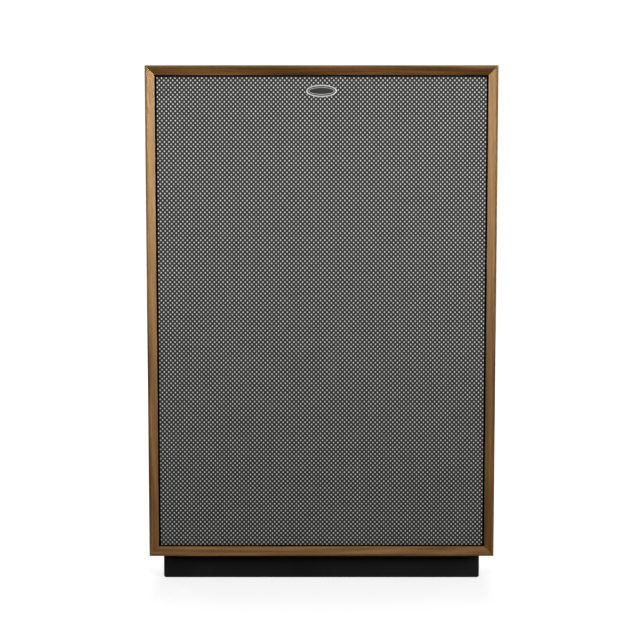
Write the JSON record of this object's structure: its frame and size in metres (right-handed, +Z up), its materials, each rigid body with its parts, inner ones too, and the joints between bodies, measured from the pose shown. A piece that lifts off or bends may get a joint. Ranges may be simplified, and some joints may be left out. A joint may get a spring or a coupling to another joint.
{
  "type": "floorstanding loudspeaker",
  "caption": "Large floorstanding speaker: bevelled walnut box on a recessed black plinth, pull-off woven grille, woofer with horn-loaded midrange and treble, front ports and screw terminals.",
  "frame": {"origin": "on the floor, under the middle of the cabinet", "axes": "+Z up, -Y out of the grille, +X to the right as seen from the front"},
  "size_m": [0.643, 0.394, 0.965],
  "materials": {
    "walnut": "satin lacquered walnut veneer, grain along each panel",
    "black_board": "satin black paint on fibreboard",
    "raw_board": "bare fibreboard",
    "wadding": "fluffy polyester wadding",
    "grille_cloth": "coarse silver and charcoal open weave",
    "badge_metal": "brushed, with a raised rim",
    "nickel": "nickel-plated steel",
    "zinc_steel": "bright zinc plating",
    "black_steel": "black oxide",
    "basket_metal": "black crackle paint on pressed steel",
    "gasket_fibre": "black fibre",
    "treated_cloth": "doped accordion cloth",
    "cone_pulp": "black coated paper pulp",
    "cap_pulp": "black coated paper pulp",
    "coil_copper": "enamelled copper on an amber former",
    "spider_cloth": "resin-dipped cloth",
    "ferrite": "ground ferrite",
    "horn_plastic": "fine satin black",
    "titanium_foil": "thin pressed foil",
    "cap_plastic": "black",
    "gold_plate": "gold plating",
    "red_knob": "clear-coated red",
    "black_knob": "clear-coated black",
    "capacitor_film": "wrapped film",
    "circuit_board": "paper laminate",
    "wire_cover": "flexible PVC cover"
  },
  "bodies": {
    "cabinet": {"cabinet_top": "walnut", "cabinet_bottom": "walnut", "cabinet_left_side": "walnut", "cabinet_right_side": "walnut", "plinth_front_board": "black_board", "plinth_back_board": "black_board", "plinth_side_boards": "black_board", "plinth_corner_blocks": "raw_board", "motor_board": "black_board", "back_panel": "black_board", "cleats": "raw_board", "window_brace": "raw_board", "damping_pads": "wadding", "catch_plates": "nickel", "cabinet_screws": "black_steel", "front_screws": "black_steel", "port_tubes": "horn_plastic", "woofer_basket": "basket_metal", "woofer_gasket": "gasket_fibre", "woofer_surround": "treated_cloth", "woofer_spider": "spider_cloth", "woofer_top_plate": "zinc_steel", "woofer_magnet": "ferrite", "woofer_pole_piece": "zinc_steel", "woofer_terminals": "cap_plastic", "woofer_bolts": "black_steel", "mid_horn": "horn_plastic", "mid_pole_piece": "zinc_steel", "mid_magnet": "ferrite", "mid_top_plate": "zinc_steel", "mid_rear_cap": "cap_plastic", "tweeter_horn": "horn_plastic", "tweeter_pole_piece": "zinc_steel", "tweeter_magnet": "ferrite", "tweeter_top_plate": "zinc_steel", "tweeter_rear_cap": "cap_plastic", "terminal_cup": "cap_plastic", "binding_posts": "gold_plate", "jumper_straps": "gold_plate", "crossover_board": "circuit_board", "crossover_capacitors": "capacitor_film", "crossover_coils": "coil_copper", "internal_leads": "wire_cover"},
    "grille": {"grille_frame": "black_board", "grille_cloth": "grille_cloth", "grille_badge": "badge_metal", "grille_magnets": "nickel"},
    "woofer_moving_part": {"woofer_cone": "cone_pulp", "woofer_dust_cap": "cap_pulp", "woofer_voice_coil": "coil_copper"},
    "mid_moving_part": {"mid_diaphragm": "titanium_foil"},
    "tweeter_moving_part": {"tweeter_diaphragm": "titanium_foil"},
    "knob_hf_positive": {"knob_hf_positive": "red_knob"},
    "washer_hf_positive": {"washer_hf_positive": "gold_plate"},
    "knob_hf_negative": {"knob_hf_negative": "black_knob"},
    "washer_hf_negative": {"washer_hf_negative": "gold_plate"},
    "knob_lf_positive": {"knob_lf_positive": "red_knob"},
    "washer_lf_positive": {"washer_lf_positive": "gold_plate"},
    "knob_lf_negative": {"knob_lf_negative": "black_knob"},
    "washer_lf_negative": {"washer_lf_negative": "gold_plate"}
  },
  "joints": [
    {"name": "grille_pull", "type": "slide", "parent": "cabinet", "child": "grille", "axis": [0, -1, 0], "range_m": [0, 0.3]},
    {"name": "woofer_excursion", "type": "slide", "parent": "cabinet", "child": "woofer_moving_part", "axis": [0, -1, 0], "range_m": [-0.006, 0.006], "stiffness_N_per_m": 3500, "deforming": ["woofer_surround", "woofer_spider"]},
    {"name": "mid_excursion", "type": "slide", "parent": "cabinet", "child": "mid_moving_part", "axis": [0, -1, 0], "range_m": [-0.0004, 0.0004], "stiffness_N_per_m": 400},
    {"name": "tweeter_excursion", "type": "slide", "parent": "cabinet", "child": "tweeter_moving_part", "axis": [0, -1, 0], "range_m": [-0.0002, 0.0002], "stiffness_N_per_m": 300},
    {"name": "clamp_hf_positive", "type": "slide", "parent": "cabinet", "child": "washer_hf_positive", "axis": [0, 1, 0], "range_m": [0, 0.006]},
    {"name": "unscrew_hf_positive", "type": "hinge", "parent": "washer_hf_positive", "child": "knob_hf_positive", "pos_m": [-0.03, 0.18, 0.444], "axis": [0, -1, 0], "range_deg": [0, 2160]},
    {"name": "clamp_hf_negative", "type": "slide", "parent": "cabinet", "child": "washer_hf_negative", "axis": [0, 1, 0], "range_m": [0, 0.006]},
    {"name": "unscrew_hf_negative", "type": "hinge", "parent": "washer_hf_negative", "child": "knob_hf_negative", "pos_m": [0.03, 0.18, 0.444], "axis": [0, -1, 0], "range_deg": [0, 2160]},
    {"name": "clamp_lf_positive", "type": "slide", "parent": "cabinet", "child": "washer_lf_positive", "axis": [0, 1, 0], "range_m": [0, 0.006]},
    {"name": "unscrew_lf_positive", "type": "hinge", "parent": "washer_lf_positive", "child": "knob_lf_positive", "pos_m": [-0.03, 0.18, 0.396], "axis": [0, -1, 0], "range_deg": [0, 2160]},
    {"name": "clamp_lf_negative", "type": "slide", "parent": "cabinet", "child": "washer_lf_negative", "axis": [0, 1, 0], "range_m": [0, 0.006]},
    {"name": "unscrew_lf_negative", "type": "hinge", "parent": "washer_lf_negative", "child": "knob_lf_negative", "pos_m": [0.03, 0.18, 0.396], "axis": [0, -1, 0], "range_deg": [0, 2160]}
  ],
  "couplings": [
    {"joint": "unscrew_hf_positive", "follows": "clamp_hf_positive", "rad_per_m": 6283.2},
    {"joint": "unscrew_hf_negative", "follows": "clamp_hf_negative", "rad_per_m": 6283.2},
    {"joint": "unscrew_lf_positive", "follows": "clamp_lf_positive", "rad_per_m": 6283.2},
    {"joint": "unscrew_lf_negative", "follows": "clamp_lf_negative", "rad_per_m": 6283.2}
  ]
}
